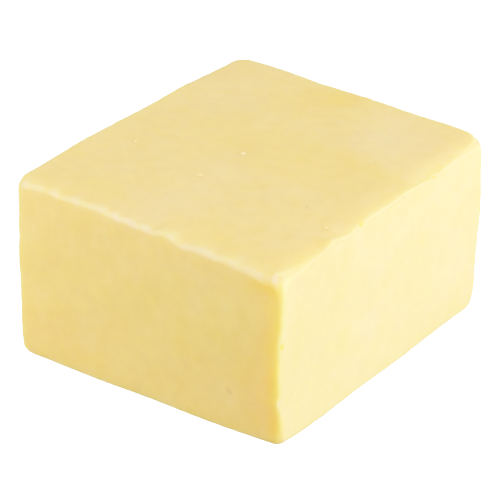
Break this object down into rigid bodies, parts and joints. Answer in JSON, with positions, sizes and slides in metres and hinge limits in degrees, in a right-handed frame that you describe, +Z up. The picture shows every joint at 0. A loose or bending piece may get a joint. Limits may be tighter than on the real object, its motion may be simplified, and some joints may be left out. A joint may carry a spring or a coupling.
{
  "type": "cheddar block",
  "caption": "Chunky block of pale yellow cheddar, nearly square in plan and a little over half as tall, with worn corners and slightly uneven edges.",
  "frame": {"origin": "middle of the bounding box's bottom, on the flat base", "axes": "+Z up from the base, +Y along the longer side, +X along the shorter side"},
  "size_m": [0.0798, 0.0916, 0.0488],
  "materials": {
    "cheddar": "soft satin, slightly waxy cheese with faint mottling"
  },
  "bodies": {
    "root": {"cheddar_block": "cheddar"}
  },
  "joints": []
}
